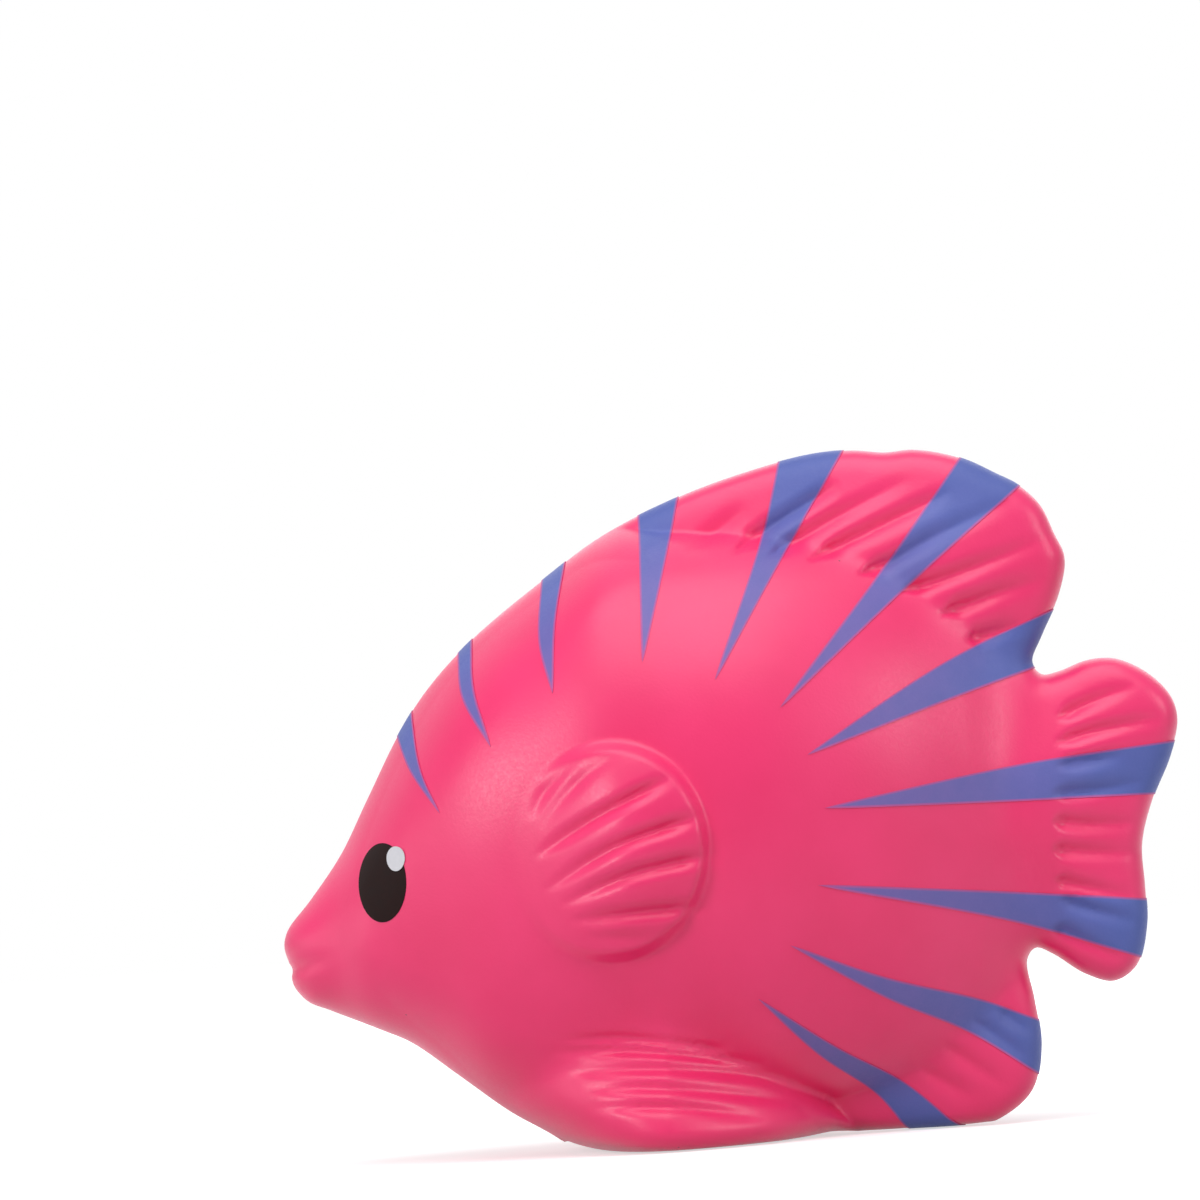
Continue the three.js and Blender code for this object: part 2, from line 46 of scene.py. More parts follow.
# The form is worked out in millimetres: x along the fish, y across it, z up from its base
mm = 0.001
skinLow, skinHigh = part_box("left_skin")

fishForm = {
    "length": round((skinHigh.x - skinLow.x) / mm),
    "height": round((skinHigh.z - skinLow.z) / mm),
    "halfThickness": 24,
    "sectionFullness": 2.2,
    "unionSharpness": 5.5,
    "finHalfEdge": 3.2,
    "finTaper": 0.32,  # how much half a fin thickens for each millimetre in from its edge
    "finTaperReach": 13,
    "finSoftening": 2,  # evens out the ridge along the middle of a fin
    "edgeRounding": 10,
    "roundingShare": 0.85,  # rounding of the outline for each millimetre of thickness behind it
    "edgeFullness": 3,
    "baseRounding": 2.5,
    "baseShare": 0.4,  # the base is rounded by no more than this share of the half thickness
    # places in percent of the length from the snout and of the height from the base
    "outline": [
        # forehead and back
        (0, 32.7), (0.5, 35), (3.2, 39.2), (6.9, 45.6), (10.1, 53.2), (14.1, 62.6), (17.6, 69),
        (22.9, 75.9), (31.2, 84), (38, 89.9), (46.6, 94.8), (54.4, 97.9), (61.6, 99.8), (66.2, 100),
        # dorsal fin's end
        (69.7, 99.4), (73.1, 99.5), (78.1, 97.8), (81.9, 95.1), (84.3, 93.2), (86.5, 90.1), (87.8, 85.9),
        (88.8, 82.2), (87.9, 76.9), (85.6, 70.9), (84.4, 67.2), (85.4, 65.3), (87.4, 65.6),
        # tail
        (90.4, 66.9), (93.5, 66.9), (96.9, 64.6), (99.4, 60.9), (100, 57.4), (98.9, 52.1), (96.7, 46),
        (95.2, 39.5), (95.2, 33.3), (95.1, 27.8), (93.7, 21.7), (91.1, 19.6), (88, 20.9), (84.5, 24.2),
        # anal fin
        (82.7, 25.2), (81.7, 23.5), (82.2, 17.9), (82.6, 11.1), (81.4, 4.6), (78.2, 1),
        # belly, drawn below the flat base, and chin
        (74.1, -0.7), (66.7, -0.7), (59.3, -1), (55.6, -4.9), (46.3, -9.9), (37, -6.2), (32.4, -1.6),
        (28.1, 2.6), (23.7, 6.3), (18.3, 12.1), (13.4, 17.3), (10.1, 19.5), (4.7, 22.8), (2.3, 24.3),
        # lower lip and the notch of the mouth
        (0.9, 26.5), (0.6, 27.9), (0.75, 29.2), (0.4, 30.3),
    ],
    # along, where the body's section closes at the top and bottom, its width in percent of the thickness
    "sections": [
        (-2, 42, 21, 6), (2, 44, 21, 22), (6, 49, 19, 36), (9, 57, 15, 50), (12, 63, 13, 59),
        (17, 72, 9, 72), (22, 79, 3, 83), (30, 86, 1, 94), (37, 91, 3, 99), (44, 90, 4, 100),
        (53, 89, 4, 97), (61, 87, 5, 85), (69, 83, 8, 68), (76, 77, 14, 46), (81, 71, 20, 29),
        (87, 67, 23, 17), (93, 64, 23, 8), (96, 62, 25, 0),
    ],
}
curveSteps = {"outline": 8, "groove": 5, "stripe": 12}  # straight pieces between two points of a curve



def place(spots):
    return (np.asarray(spots, float) / 100 - (0.5, 0)) * (fishForm["length"], fishForm["height"])


def smoothStep(value, low, high):
    part = np.clip((value - low) / (high - low), 0, 1)
    return part * part * (3 - 2 * part)


def smoothCurve(points, closed, perSpan):
    # a centripetal curve through the points
    points = np.asarray(points, float)
    if closed:
        ring = np.vstack([points[-1], points, points[:2]])
    else:
        ring = np.vstack([2 * points[0] - points[1], points, 2 * points[-1] - points[-2]])
    before, start, end, after = ring[:-3], ring[1:-2], ring[2:-1], ring[3:]
    first, middle, last = (
        np.sqrt(np.linalg.norm(b - a, axis=1))[:, None]
        for a, b in ((before, start), (start, end), (end, after))
    )
    leaving = ((start - before) / first - (end - before) / (first + middle)) * middle + end - start
    arriving = ((after - end) / last - (after - start) / (middle + last)) * middle + end - start
    u = np.linspace(0, 1, perSpan, endpoint=False)[:, None, None]
    curve = (2 * u**3 - 3 * u**2 + 1) * start + (u**3 - 2 * u**2 + u) * leaving
    curve = curve + (3 * u**2 - 2 * u**3) * end + (u**3 - u**2) * arriving
    curve = curve.transpose(1, 0, 2).reshape(-1, 2)
    return np.vstack([curve, points[0] if closed else points[-1]])


def nearestOnRun(x, z, run):
    # distance to a run of straight pieces, and the share of the run up to the nearest place
    nearest = np.full(x.shape, np.inf)
    share = np.zeros(x.shape)
    pieces = len(run) - 1
    for i in range(pieces):
        start, step = run[i], run[i + 1] - run[i]
        part = ((x - start[0]) * step[0] + (z - start[1]) * step[1]) / step.dot(step)
        part = np.clip(part, 0, 1)
        gap = np.hypot(x - start[0] - part * step[0], z - start[1] - part * step[1])
        nearer = gap < nearest
        nearest[nearer] = gap[nearer]
        share[nearer] = (i + part[nearer]) / pieces
    return nearest, share


def insideRing(x, z, ring):
    inside = np.zeros(x.shape, bool)
    for start, end in zip(ring[:-1], ring[1:]):
        crosses = (start[1] > z) != (end[1] > z)
        if crosses.any():
            inside ^= crosses & (x < start[0] + (z - start[1]) * (end[0] - start[0]) / (end[1] - start[1]))
    return inside


def softened(field, width):
    # a moving average with bell-shaped weights out to three widths, along both directions
    reach = int(3 * width / fieldGrid["step"])
    weights = np.exp(-0.5 * (np.arange(-reach, reach + 1) * fieldGrid["step"] / width) ** 2)
    weights = weights / weights.sum()
    for axis in (0, 1):
        margin = [(reach, reach) if a == axis else (0, 0) for a in (0, 1)]
        padded = np.pad(field, margin, mode="edge")
        size = field.shape[axis]
        field = sum(w * np.take(padded, range(i, i + size), axis) for i, w in enumerate(weights))
    return field


# The side view as a grid of points
fieldGrid = {"step": 0.25, "margin": 4, "below": 12}
gridAlong = np.arange(-fishForm["length"] / 2 - fieldGrid["margin"],
                      fishForm["length"] / 2 + fieldGrid["margin"], fieldGrid["step"])
gridUp = np.arange(-fieldGrid["below"], fishForm["height"] + fieldGrid["margin"], fieldGrid["step"])
gridX, gridZ = np.meshgrid(gridAlong, gridUp, indexing="ij")
outline = smoothCurve(place(fishForm["outline"]), True, curveSteps["outline"])
depth = nearestOnRun(gridX, gridZ, outline)[0] * np.where(insideRing(gridX, gridZ, outline), 1, -1)


def bodyRelief():
    sections = np.asarray(fishForm["sections"], float)
    along = place(sections[:, :2])[:, 0]
    values = sections[:, 1:] / 100 * (fishForm["height"], fishForm["height"], fishForm["halfThickness"])
    slopes = np.diff(values, axis=0) / np.diff(along)[:, None]
    tangents = np.vstack([slopes[:1], (slopes[1:] + slopes[:-1]) / 2, slopes[-1:]])
    span = np.clip(np.searchsorted(along, gridAlong) - 1, 0, len(along) - 2)
    width = np.diff(along)[span][:, None]
    u = (gridAlong[:, None] - along[span][:, None]) / width
    value = (2 * u**3 - 3 * u**2 + 1) * values[span] + (u**3 - 2 * u**2 + u) * width * tangents[span]
    value = value + (3 * u**2 - 2 * u**3) * values[span + 1] + (u**3 - u**2) * width * tangents[span + 1]
    top, bottom, half = (value[:, i][:, None] for i in range(3))
    level = np.abs((2 * gridZ - top - bottom) / (top - bottom))
    relief = half * np.sqrt(np.maximum(0, 1 - level ** fishForm["sectionFullness"]))
    covered = (gridAlong > along[0]) & (gridAlong < along[-1])
    return np.where(covered[:, None], relief, 0)


def finRelief():
    inward = softened(np.clip(depth, 0, fishForm["finTaperReach"]), fishForm["finSoftening"])
    return fishForm["finHalfEdge"] + fishForm["finTaper"] * inward


# The pelvic fins spread out at the base and drop towards the tail
# Pairs of values, apart from the centre, are forwards and backwards of the centre
pelvicFin = {
    "centre": (41.3, 0),
    "reach": (23.5, 30),
    "slope": (0.12, 0.46),
    "fullness": (1.9, 1.3),
    "height": 24,
    "fullnessUp": 1.45,
    "spread": 47,
    "flare": 0.52,
    "sharpness": 12,
}


def pelvicRelief():
    along = gridX - place(pelvicFin["centre"])[0]
    reach, slope, fullness = (
        np.where(along < 0, *pelvicFin[name]) for name in ("reach", "slope", "fullness")
    )
    up = np.maximum(0, gridZ + slope * along) / pelvicFin["height"]
    left = 1 - (np.abs(along) / reach) ** fullness - up ** pelvicFin["fullnessUp"]
    return pelvicFin["spread"] / 2 * np.maximum(0, left) ** pelvicFin["flare"]


# The pectoral fin lies on the flank: it grows out of it at the front and ends in a step
pectoralFin = {
    "centre": (36.8, 43.5),
    "halfSize": (12, 13.2),
    "lean": 9,  # degrees, its top towards the tail
    "rise": 1.5,
    "step": 1.7,
    "dome": 2,
    "rootEnd": 0.3,  # where it has grown out of the flank, in shares of its half length
    # in shares of its half size, from the centre
    "rays": [
        [(-0.72, 0), (-0.16, 0.29), (0.6, 0.6)],
        [(-0.67, -0.31), (0.05, 0.04), (0.86, 0.25)],
        [(-0.52, -0.44), (0.19, -0.21), (0.93, -0.09)],
        [(-0.43, -0.58), (0.17, -0.55), (0.8, -0.53)],
    ],
    "faintRays": [
        [(-0.74, 0.33), (-0.59, 0.57), (-0.25, 0.84)],
        [(-0.67, 0.23), (-0.4, 0.51), (-0.13, 0.72), (0.24, 0.89)],
        [(-0.33, -0.72), (0.08, -0.76), (0.43, -0.78)],
    ],
}



def pectoralRelief():
    centre, size = place(pectoralFin["centre"]), pectoralFin["halfSize"]
    lean = math.radians(pectoralFin["lean"])
    along = (gridX - centre[0]) * math.cos(lean) - (gridZ - centre[1]) * math.sin(lean)
    up = (gridX - centre[0]) * math.sin(lean) + (gridZ - centre[1]) * math.cos(lean)
    outward = np.minimum(1, np.hypot(along / size[0], up / size[1]))
    edge = smoothStep((1 - outward) * (size[0] + size[1]) / 2, 0, pectoralFin["step"])
    relief = pectoralFin["rise"] * edge + pectoralFin["dome"] * (1 - outward**2)
    return relief * smoothStep(along, -size[0], pectoralFin["rootEnd"] * size[0])


# Rays pressed into the fins, from root to edge
finRays = {
    "back": [[(42.5, 86.5), (44.8, 88.2)], [(46.9, 85.7), (51.5, 90.1), (54.3, 92.4)]],
    "dorsal": [
        [(52.3, 85.7), (56.2, 89), (62.3, 93.5), (64.4, 95)],
        [(56.2, 85), (59.2, 87), (64.9, 90.8), (72.4, 95.2)],
        [(60.8, 84.1), (66.1, 87), (73.9, 91.3), (77, 93)],
        [(66.2, 81.5), (69.3, 82.9), (74.3, 86.2), (84.2, 91.5)],
        [(70.6, 78.6), (74, 79.6), (79.2, 81.7), (87.2, 85.2)],
        [(74.8, 75), (77.6, 76), (80.7, 77.3), (86.4, 79.2)],
        [(77.4, 71), (79.7, 71.5), (84, 73.1)],
    ],
    "tail": [
        [(86.6, 58.5), (90.5, 60.7), (96, 62.8)], [(86.1, 54.9), (90.3, 56.3), (94.6, 57.1), (98.5, 57.6)],
        [(86.1, 51.6), (90.7, 52.2), (94, 52.6)], [(85.4, 47.7), (89.9, 47.7), (96, 48.6)],
        [(85.2, 43.7), (88.7, 42.9), (95.6, 42.4)], [(85, 39.6), (88.2, 38.9), (95, 38)],
        [(85, 35.1), (88.3, 33.8), (94.5, 31.6)], [(85.6, 32.4), (88.7, 30.5), (94.6, 27.8)],
        [(84.5, 28.2), (87, 26.5), (92.4, 22.3)],
    ],
    "anal": [
        [(69.3, 8.8), (74.8, 3.7)], [(72, 11.9), (78.7, 4.8)], [(75.4, 15.2), (81.5, 8.6)],
        [(78.1, 16.4), (81.8, 12.6)],
    ],
    "pelvic": [
        [(29.5, 17), (37.6, 16.4), (45.7, 14.3), (48.2, 13.3)],
        [(28.5, 15.2), (37.6, 14.7), (47.4, 12.5), (52, 11)],
        [(30.4, 12.2), (40.2, 11.9), (49.6, 10.1), (54.5, 8.7)],
        [(31.9, 9.6), (40, 9.2), (50, 7), (55.5, 5.3)],
        [(32.4, 7), (42.6, 6.1), (52.2, 3.5)],
    ],
    "mouth": [[(0.9, 29.2), (2.6, 29.8), (5.4, 30.5)]],
}
# Depth and width of each kind of groove, how narrow it starts, and its share of the depth from start to end
grooveKinds = {
    "back": {"depth": 0.9, "width": 4.4, "start": 0.8, "profile": [(0, 0), (0.2, 1), (0.6, 0.7), (1, 0)]},
    "dorsal": {"depth": 1.6, "width": 4, "start": 0.3,
               "profile": [(0, 0.3), (0.1, 1), (0.6, 0.75), (1, 0)]},
    "tail": {"depth": 1.3, "width": 3.4, "start": 0.5, "profile": [(0, 0), (0.15, 1), (0.5, 0.8), (1, 0)]},
    "anal": {"depth": 0.8, "width": 4, "start": 0.5, "profile": [(0, 0.4), (0.15, 1), (0.6, 0.7), (1, 0)]},
    "mouth": {"depth": 0.7, "width": 2.6, "start": 1, "profile": [(0, 0.4), (0.3, 1), (1, 0)]},
    "pectoral": {"depth": 1.4, "width": 3.4, "start": 0.5,
                 "profile": [(0, 0), (0.35, 0.8), (0.85, 1), (1, 0.2)]},
    "faint": {"depth": 0.5, "width": 3.4, "start": 1, "profile": [(0, 0), (0.5, 1), (1, 0)]},
    "pelvic": {"depth": 0.8, "width": 2.6, "start": 0.8, "profile": [(0, 0), (0.3, 1), (0.7, 0.9), (1, 0)]},
}
grooveBottom = 0.12  # rounds the bottom of a groove, in shares of half its width
grooveOpening = 0.25  # share of its run by which a groove has its full width


def allGrooves():
    runs = [(kind, place(ray)) for kind, rays in finRays.items() for ray in rays]
    centre, size = place(pectoralFin["centre"]), pectoralFin["halfSize"]
    runs += [("pectoral", centre + np.multiply(ray, size)) for ray in pectoralFin["rays"]]
    runs += [("faint", centre + np.multiply(ray, size)) for ray in pectoralFin["faintRays"]]
    return [(kind, smoothCurve(run, False, curveSteps["groove"])) for kind, run in runs]


def grooveRelief():
    deepest = np.zeros(gridX.shape)
    for kind, run in allGrooves():
        groove = grooveKinds[kind]
        gap, share = nearestOnRun(gridX, gridZ, run)
        opened = smoothStep(share, 0, grooveOpening)
        width = groove["width"] * (groove["start"] + (1 - groove["start"]) * opened)
        across = np.maximum(0, 1 - np.hypot(2 * gap / width, grooveBottom)) ** 2
        shares, heights = zip(*groove["profile"])
        deepest = np.maximum(deepest, groove["depth"] * across * np.interp(share, shares, heights))
    return deepest


def makeFields():
    # the square of the half thickness falls to zero at the outline, which makes a round edge
    sharpness = fishForm["unionSharpness"]
    smooth = (bodyRelief() ** sharpness + finRelief() ** sharpness) ** (1 / sharpness)
    sharpness = pelvicFin["sharpness"]
    smooth = (smooth**sharpness + pelvicRelief() ** sharpness) ** (1 / sharpness)
    rounding = np.minimum(fishForm["edgeRounding"], fishForm["roundingShare"] * smooth)
    inward = np.minimum(1, depth / rounding)
    thickness = smooth + pectoralRelief() - grooveRelief()
    square = thickness**2 * (1 - (1 - inward) ** fishForm["edgeFullness"])
    return (square, *np.gradient(square, fieldGrid["step"]))


fields = makeFields()
print("side view worked out on", gridX.size, "points")


def cubicWeights(t):
    # weights of four neighbours for a smooth curve through them
    return (
        ((2 - t) * t - 1) * t / 2,
        ((3 * t - 5) * t * t + 2) / 2,
        ((4 - 3 * t) * t + 1) * t / 2,
        (t - 1) * t * t / 2,
    )


def sampleFields(x, z):
    column = (x - gridAlong[0]) / fieldGrid["step"]
    row = (z - gridUp[0]) / fieldGrid["step"]
    i = np.clip(np.floor(column).astype(int), 1, len(gridAlong) - 3)
    j = np.clip(np.floor(row).astype(int), 1, len(gridUp) - 3)
    values = [0, 0, 0]
    for a, weightA in enumerate(cubicWeights(column - i)):
        for b, weightB in enumerate(cubicWeights(row - j)):
            weight = weightA * weightB
            values = [v + weight * field[i + a - 1, j + b - 1] for v, field in zip(values, fields)]
    return values


# How points are settled on the skin, where leastSlope and guard keep it from dividing by nothing
settling = {"probe": 0.03, "longestStep": 1, "leastSlope": 0.2, "leastSquare": 0.01, "guard": 1e-6}


def skinGap(points):
    # distance out from the skin, whose flat base has a rounded edge
    x, y, z = points.T
    square, alongX, upZ = sampleFields(x, z)
    side = (y * y - square) / np.sqrt(alongX**2 + upZ**2 + 4 * y * y + settling["guard"])
    half = np.sqrt(np.maximum(square, settling["leastSquare"]))
    radius = np.minimum(fishForm["baseRounding"], fishForm["baseShare"] * half)
    outer = np.hypot(np.maximum(side + radius, 0), np.maximum(radius - z, 0)) - radius
    return np.where(np.maximum(side, -z) > -radius, outer, np.maximum(side, -z))


def skinSlopes(points, gaps):
    step = settling["probe"]
    slopes = [(skinGap(points + step * axis) - gaps) / step for axis in np.eye(3)]
    return np.stack(slopes, axis=1)


def ontoSkin(points, turns, gap=0, outward=True):
    # moves points until they lie this gap inside the skin, or only those that lie too far out
    longest = settling["longestStep"]
    for turn in range(turns):
        gaps = skinGap(points)
        slopes = skinSlopes(points, gaps)
        steps = np.clip(gaps + gap, -longest if outward else 0, longest)
        steps = steps / np.maximum(settling["leastSlope"], (slopes**2).sum(axis=1))
        points = points - steps[:, None] * slopes
    return points


# Helpers for meshes
def pickOnly(piece):
    bpy.ops.object.select_all(action="DESELECT")
    piece.select_set(True)
    bpy.context.view_layer.objects.active = piece


def pointsOf(piece):
    points = np.empty(len(piece.data.vertices) * 3)
    piece.data.vertices.foreach_get("co", points)
    return points.reshape(-1, 3) / mm


def setPoints(piece, points):
    piece.data.vertices.foreach_set("co", (points * mm).ravel())
    piece.data.update()


def editAll(piece, *steps):
    # runs mesh operators in edit mode on everything that the piece holds
    pickOnly(piece)
    bpy.ops.object.mode_set(mode="EDIT")
    bpy.ops.mesh.select_all(action="SELECT")
    for operator, values in steps:
        operator(**values)
    bpy.ops.object.mode_set(mode="OBJECT")


def applyModifier(piece, kind, **values):
    modifier = piece.modifiers.new(kind.title(), kind)
    for name, value in values.items():
        setattr(modifier, name, value)
    pickOnly(piece)
    bpy.ops.object.modifier_apply(modifier=modifier.name)


weldDistance = 0.01


def foamCopy(name):
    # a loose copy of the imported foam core, with its facets joined
    piece = bpy.data.objects.new(name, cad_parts["foam_core"].data.copy())
    bpy.context.scene.collection.objects.link(piece)
    piece.data.materials.clear()
    editAll(piece, (bpy.ops.mesh.remove_doubles, {"threshold": weldDistance * mm}))
    return piece


def dress(piece, material, slot, *nodes):
    piece.data.materials.append(material)
    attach(piece, "root")
    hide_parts(*nodes)


# Helpers for materials
def fromScreen(red, green, blue):
    # a colour as a screen shows it, turned into light by the usual screen curve
    shares = np.array([red, green, blue]) / 255
    linear = np.where(shares <= 0.04045, shares / 12.92, ((shares + 0.055) / 1.055) ** 2.4)
    return (*linear, 1)


def newMaterial(name):
    material = bpy.data.materials.new(name)
    material.use_nodes = True
    return material, material.node_tree.nodes["Principled BSDF"]


def addNode(owner, kind, inputs=None, **values):
    # the owner is a material or a world
    node = owner.node_tree.nodes.new(kind)
    for name, value in values.items():
        setattr(node, name, value)
    for name, value in (inputs or {}).items():
        if isinstance(value, bpy.types.NodeSocket):
            link(owner, value, node.inputs[name])
        else:
            node.inputs[name].default_value = value
    return node


def link(owner, output, socket):
    owner.node_tree.links.new(output, socket)


def objectSpot(material):
    return addNode(material, "ShaderNodeTexCoord").outputs["Object"]


def objectNoise(material, scale, detail=2):
    inputs = {"Vector": objectSpot(material), "Scale": scale, "Detail": detail}
    return addNode(material, "ShaderNodeTexNoise", inputs).outputs["Fac"]


def objectCells(material, scale):
    inputs = {"Vector": objectSpot(material), "Scale": scale}
    return addNode(material, "ShaderNodeTexVoronoi", inputs).outputs["Distance"]


def mixColours(material, factor, first, second):
    # the numbers are those of the mix node's colour sockets
    mix = addNode(material, "ShaderNodeMix", {0: factor, 6: first, 7: second}, data_type="RGBA")
    return mix.outputs[2]


def twoTone(material, factor, look):
    return mixColours(material, factor, fromScreen(*look["deep"]), fromScreen(*look["light"]))


def mapRange(material, value, fromRange, toRange):
    node = addNode(material, "ShaderNodeMapRange", {
        "Value": value,
        "From Min": fromRange[0], "From Max": fromRange[1],
        "To Min": toRange[0], "To Max": toRange[1],
    })
    return node.outputs["Result"]


def addBump(material, shader, height, strength, depth):
    bump = addNode(material, "ShaderNodeBump", {"Height": height, "Strength": strength, "Distance": depth})
    link(material, bump.outputs["Normal"], shader.inputs["Normal"])


noiseRange = (0.3, 0.7)  # most of a noise lies in it

# Soft satin skin with fine grain, a slight cloudiness and a few pinholes, whose darkness is painted shade
# because the holes have no depth
skinLook = {
    "light": (242, 50, 114),
    "deep": (236, 44, 107),
    "pinholeShade": (150, 30, 70),
    "cloudScale": 70,
    "cloudDetail": 3,
    "cloudRange": (0.35, 0.65),
    "grainScale": 3200,
    "grainStrength": 0.5,
    "grainDepth": 0.00003,
    "pinholeScale": 110,
    "pinholeSize": (0.012, 0.02),  # painted shade up to the first, gone from the second
    "roughness": (0.33, 0.42),
    "specular": 0.5,
}


def skinMaterial():
    material, shader = newMaterial("pinkSkin")
    clouds = objectNoise(material, skinLook["cloudScale"], skinLook["cloudDetail"])
    colour = twoTone(material, mapRange(material, clouds, skinLook["cloudRange"], (0, 1)), skinLook)
    # pinholes: spots of painted shade, a darker pink where each tiny hole would lie in shade
    cells = objectCells(material, skinLook["pinholeScale"])
    holeShade = mapRange(material, cells, skinLook["pinholeSize"], (1, 0))
    colour = mixColours(material, holeShade, colour, fromScreen(*skinLook["pinholeShade"]))
    link(material, colour, shader.inputs["Base Color"])
    grain = objectNoise(material, skinLook["grainScale"])
    link(material, mapRange(material, grain, noiseRange, skinLook["roughness"]), shader.inputs["Roughness"])
    addBump(material, shader, grain, skinLook["grainStrength"], skinLook["grainDepth"])
    shader.inputs["Specular IOR Level"].default_value = skinLook["specular"]
    return material


# Pale foam, darker in the hollow of each cell: that darkening is painted shade, lying where the bump makes
# its pits
foamLook = {
    "light": (250, 236, 222),
    "deep": (226, 204, 186),
    "cellScale": 1400,
    "cellStrength": 0.8,
    "cellDepth": 0.0003,
    "roughness": 0.95,
}


def foamMaterial():
    material, shader = newMaterial("paleFoam")
    cells = objectCells(material, foamLook["cellScale"])
    # painted shade: the cell hollows take the deep colour
    link(material, twoTone(material, cells, foamLook), shader.inputs["Base Color"])
    addBump(material, shader, cells, foamLook["cellStrength"], foamLook["cellDepth"])
    shader.inputs["Roughness"].default_value = foamLook["roughness"]
    return material


# Sprayed stripes, bluer at the fins and thinner towards the tip, where the pink shows through
stripeLook = {
    "root": (68, 88, 160),
    "middle": (88, 99, 174),
    "middleAt": 0.45,
    "tip": (118, 94, 166),
    "softEdge": 0.35,  # millimetres over which the spray thins out at the sides
    "edgeFade": 0.6,  # share of pink at the very edge
    "mottleScale": 400,
    "mottleDetail": 4,
    "mottleShare": 0.25,
    "grainScale": 3200,
    "grainStrength": 0.5,
    "grainDepth": 0.00003,
    "roughness": (0.5, 0.62),
}


def stripeMaterial():
    material, shader = newMaterial("sprayedStripe")
    along = addNode(material, "ShaderNodeUVMap", uv_map="UVMap").outputs["UV"]
    split = addNode(material, "ShaderNodeSeparateXYZ", {"Vector": along})
    ramp = addNode(material, "ShaderNodeValToRGB", {"Fac": split.outputs["X"]})
    ramp.color_ramp.elements[0].color = fromScreen(*stripeLook["root"])
    ramp.color_ramp.elements[1].color = fromScreen(*stripeLook["tip"])
    ramp.color_ramp.elements.new(stripeLook["middleAt"]).color = fromScreen(*stripeLook["middle"])
    mottle = objectNoise(material, stripeLook["mottleScale"], stripeLook["mottleDetail"])
    mottle = mapRange(material, mottle, noiseRange, (0, stripeLook["mottleShare"]))
    colour = mixColours(material, mottle, ramp.outputs["Color"], fromScreen(*stripeLook["root"]))
    gap = addNode(material, "ShaderNodeAttribute", attribute_name="edgeGap").outputs["Fac"]
    thin = mapRange(material, gap, (0, stripeLook["softEdge"]), (stripeLook["edgeFade"], 0))
    colour = mixColours(material, thin, colour, fromScreen(*skinLook["light"]))
    link(material, colour, shader.inputs["Base Color"])
    grain = objectNoise(material, stripeLook["grainScale"])
    roughness = mapRange(material, grain, noiseRange, stripeLook["roughness"])
    link(material, roughness, shader.inputs["Roughness"])
    addBump(material, shader, grain, stripeLook["grainStrength"], stripeLook["grainDepth"])
    return material


eyeLook = {
    "light": (34, 15, 14),
    "deep": (24, 9, 9),
    "mottleScale": 900,
    "mottleDetail": 3,
    "roughness": (0.42, 0.5),
    "specular": 0.08,
}


def eyeMaterial():
    material, shader = newMaterial("eyeBlack")
    mottle = objectNoise(material, eyeLook["mottleScale"], eyeLook["mottleDetail"])
    link(material, twoTone(material, mottle, eyeLook), shader.inputs["Base Color"])
    link(material, mapRange(material, mottle, noiseRange, eyeLook["roughness"]), shader.inputs["Roughness"])
    shader.inputs["Specular IOR Level"].default_value = eyeLook["specular"]
    return material


glintLook = {
    "light": (214, 213, 219),
    "deep": (200, 200, 207),
    "mottleScale": 1500,
    "mottleDetail": 3,
    "roughness": 0.42,
}


def glintMaterial():
    material, shader = newMaterial("glintPale")
    mottle = objectNoise(material, glintLook["mottleScale"], glintLook["mottleDetail"])
    link(material, twoTone(material, mottle, glintLook), shader.inputs["Base Color"])
    shader.inputs["Roughness"].default_value = glintLook["roughness"]
    return material


# Foam core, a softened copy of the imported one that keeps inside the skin
foamMake = {"gap": 1.2, "voxel": 1.2, "smoothing": 0.5, "smoothTurns": 6, "turns": 6}

foamCore = foamCopy("foam_core_fill")
applyModifier(foamCore, "REMESH", mode="VOXEL", voxel_size=foamMake["voxel"] * mm)
applyModifier(foamCore, "SMOOTH", factor=foamMake["smoothing"], iterations=foamMake["smoothTurns"])
setPoints(foamCore, ontoSkin(pointsOf(foamCore), foamMake["turns"], foamMake["gap"], outward=False))
print("foam core:", len(foamCore.data.polygons), "faces")

# Skin, settled onto the form in small even faces
skinMake = {
    "start": 1.9,  # how far the foam's form is swollen to begin with
    "voxels": (0.9, 0.42),
    "turns": 6,
    "relax": 0.5,
    "settleTurns": 2,
    "lastTurns": 3,
}


def relaxed(points, edges, share):
    count = np.bincount(edges.ravel(), minlength=len(points))
    total = np.stack([
        np.bincount(edges[:, 0], points[edges[:, 1], i], len(points))
        + np.bincount(edges[:, 1], points[edges[:, 0], i], len(points)) for i in range(3)
    ], axis=1)
    return points + share * (total / count[:, None] - points)


def outerSkin():
    skin = foamCopy("skin_outer")
    applyModifier(skin, "DISPLACE", strength=skinMake["start"] * mm, mid_level=0)
    for voxel in skinMake["voxels"]:
        applyModifier(skin, "REMESH", mode="VOXEL", voxel_size=voxel * mm)
        edges = np.empty(len(skin.data.edges) * 2, int)
        skin.data.edges.foreach_get("vertices", edges)
        points = pointsOf(skin)
        for turn in range(skinMake["turns"]):
            points = relaxed(points, edges.reshape(-1, 2), skinMake["relax"])
            points = ontoSkin(points, skinMake["settleTurns"])
        setPoints(skin, ontoSkin(points, skinMake["lastTurns"]))
    return skin


skin = outerSkin()
skin.data.shade_smooth()
print("skin:", len(skin.data.polygons), "faces")
dress(skin, skinMaterial(), "skin", "left_skin", "right_skin")
foamCore.data.shade_smooth()
dress(foamCore, foamMaterial(), "foam", "foam_core")

# Painted patches: thin films that lie on the skin
paintFilm = {
    "stripeLift": {"left": 0.09, "right": 0.06},  # the left film lies over the right one where they lap
    "eyeLift": 0.06,
    "glintLift": 0.13,
    "thickness": 0.05,
    "lap": 0.15,
    "weld": 0.005,
    "turns": 3,
    "sharpAngle": 40,  # degrees, sharper edges stay sharp
}


